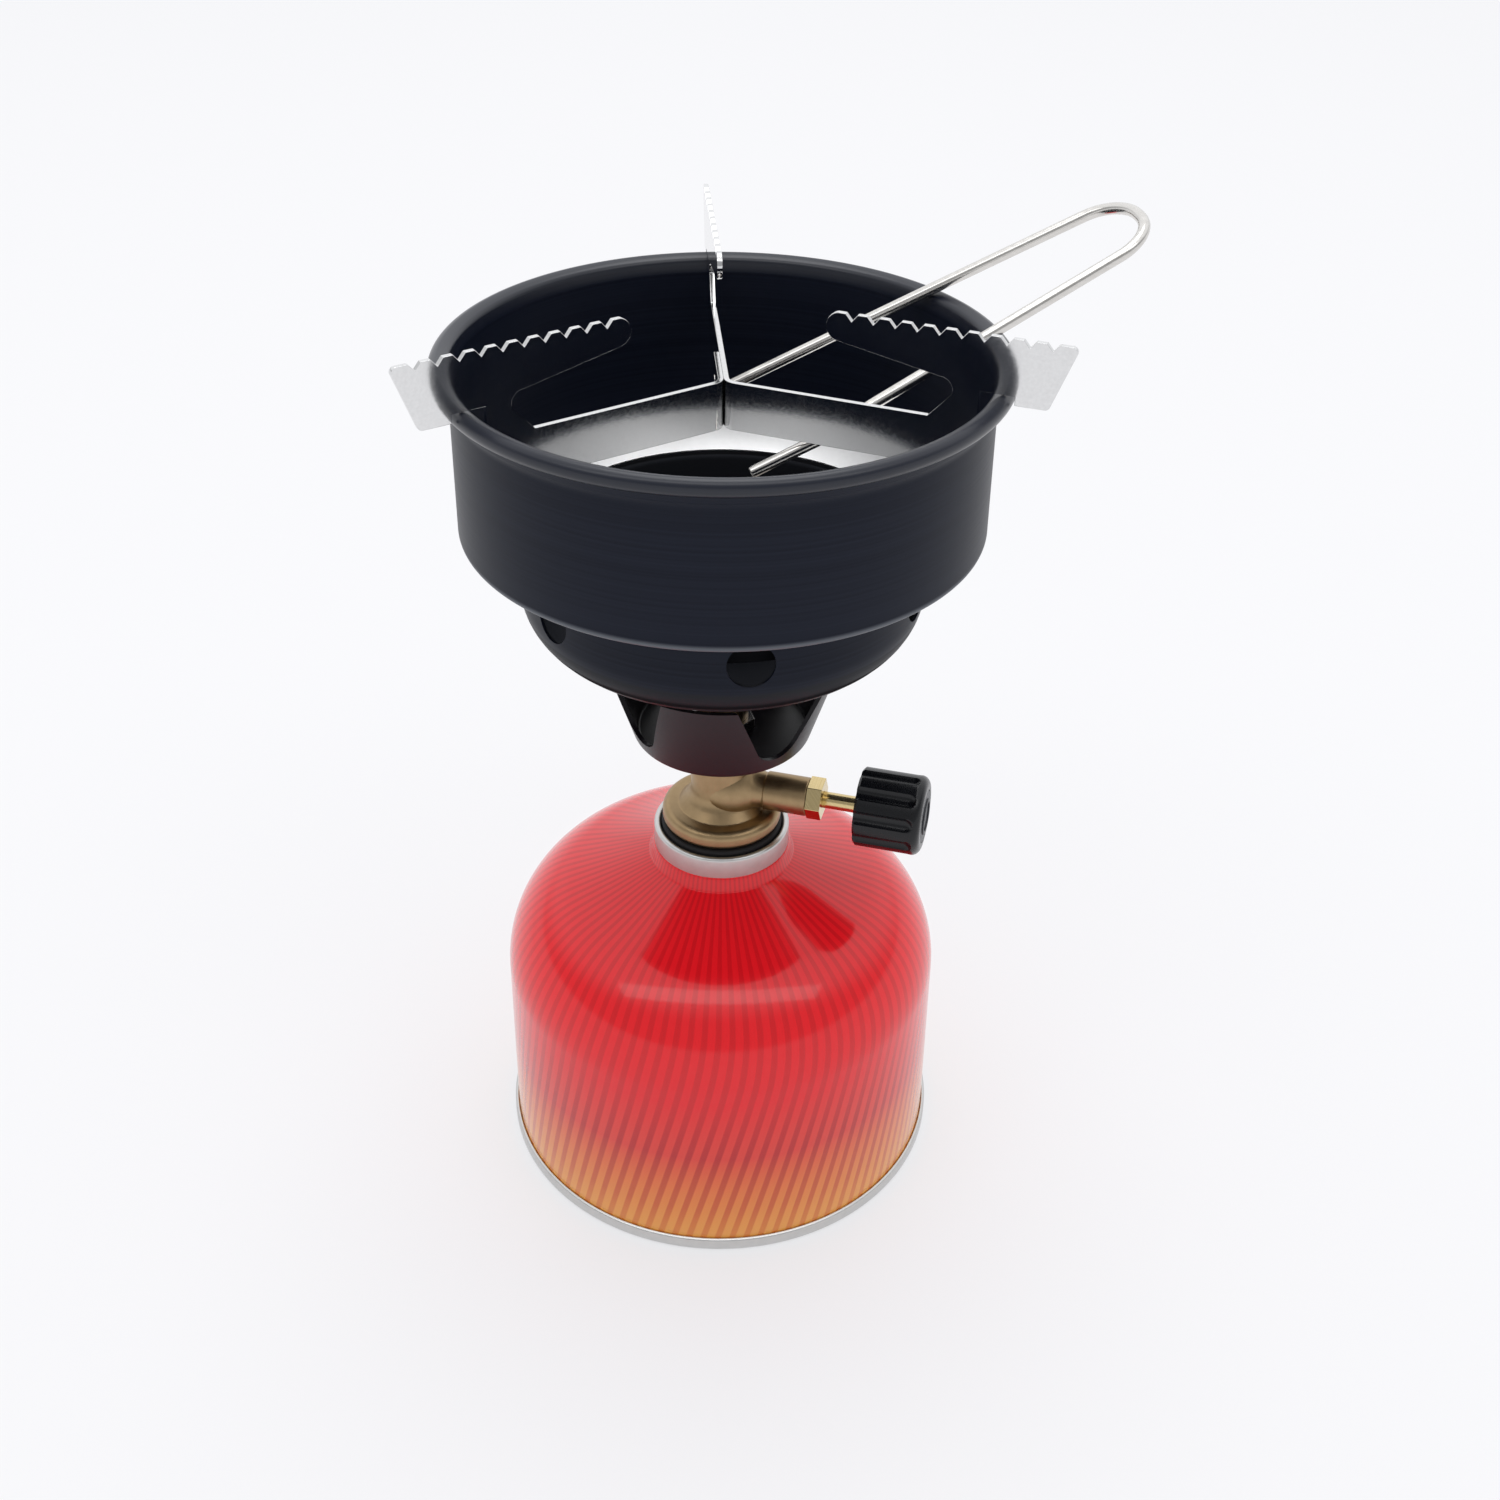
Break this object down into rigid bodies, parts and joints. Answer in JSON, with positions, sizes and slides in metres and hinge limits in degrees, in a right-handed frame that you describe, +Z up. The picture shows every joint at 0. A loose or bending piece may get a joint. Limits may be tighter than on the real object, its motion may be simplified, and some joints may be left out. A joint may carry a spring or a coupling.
{
  "type": "camping stove",
  "caption": "Screw-on gas camping stove: dark spun windscreen bowl over a burner, notched pot support, loose wire handle, brass valve with knob, on a domed gas cartridge.",
  "frame": {"origin": "centre of the cartridge's base, on the ground", "axes": "+Z up along the stove's axis, +X along the valve spindle towards the knob"},
  "size_m": [0.1468, 0.1344, 0.2371],
  "materials": {
    "can_paint": "gloss red lacquer",
    "can_steel": "bare tinplate",
    "rubber": "matte",
    "valve_plastic": "matte",
    "steel": "satin",
    "brass": "aged casting",
    "bright_brass": "machined",
    "knob_plastic": "gloss black",
    "black_enamel": "satin black",
    "slate_enamel": "satin dark slate over spun sheet",
    "polished_steel": "bright",
    "burner_steel": "heat-dulled",
    "wire_steel": "polished"
  },
  "bodies": {
    "cartridge": {"cartridge_shell": "can_paint", "cartridge_base": "can_steel", "mounting_cup": "can_steel", "cup_gasket": "rubber", "stem_gasket": "rubber", "valve_housing": "valve_plastic", "valve_spring": "steel"},
    "poppet": {"valve_poppet": "steel"},
    "seal": {"collar_seal": "rubber"},
    "burner_unit": {"valve_body": "brass", "opener_pin": "brass", "gas_jet": "bright_brass", "gland_nut": "bright_brass", "gland_packing": "rubber", "air_shroud": "black_enamel", "shroud_nut": "steel", "mixing_tube": "brass", "lower_dish": "slate_enamel", "dish_nut": "steel", "windscreen_bowl": "slate_enamel", "heat_reflector": "polished_steel", "burner_head": "burner_steel", "burner_stud": "steel", "burner_cap": "burner_steel", "burner_nut": "steel"},
    "needle": {"spindle": "bright_brass"},
    "knob_group": {"knob": "knob_plastic", "knob_cap": "knob_plastic"},
    "pot_support": {"support_pair_sheet": "polished_steel", "support_single_sheet": "polished_steel"},
    "handle": {"wire_handle": "wire_steel"}
  },
  "joints": [
    {"name": "seal_rise", "type": "slide", "parent": "cartridge", "child": "seal", "axis": [0, 0, 1], "range_m": [0, 0.005]},
    {"name": "stove_unscrew", "type": "hinge", "parent": "seal", "child": "burner_unit", "pos_m": [0, 0, 0.09], "axis": [0, 0, 1], "range_deg": [0, 1980]},
    {"name": "poppet_rise", "type": "slide", "parent": "cartridge", "child": "poppet", "axis": [0, 0, 1], "range_m": [0, 0.0012], "deforming": ["valve_spring"]},
    {"name": "spindle_travel", "type": "slide", "parent": "burner_unit", "child": "needle", "axis": [1, 0, 0], "range_m": [0, 0.002]},
    {"name": "knob_turn", "type": "hinge", "parent": "needle", "child": "knob_group", "pos_m": [0.04, 0, 0.10153], "axis": [1, 0, 0], "range_deg": [0, 720]},
    {"name": "support_lift", "type": "slide", "parent": "burner_unit", "child": "pot_support", "axis": [0, 0, 1], "range_m": [0, 0.05]},
    {"name": "handle_pull", "type": "slide", "parent": "burner_unit", "child": "handle", "axis": [0.7782, 0.38, 0.5], "range_m": [0, 0.14]}
  ],
  "couplings": [
    {"joint": "seal_rise", "follows": "stove_unscrew", "m_per_rad": 0.00014435},
    {"joint": "poppet_rise", "follows": "stove_unscrew", "m_per_rad": 0.000034435},
    {"joint": "spindle_travel", "follows": "knob_turn", "m_per_rad": 0.00015915}
  ]
}
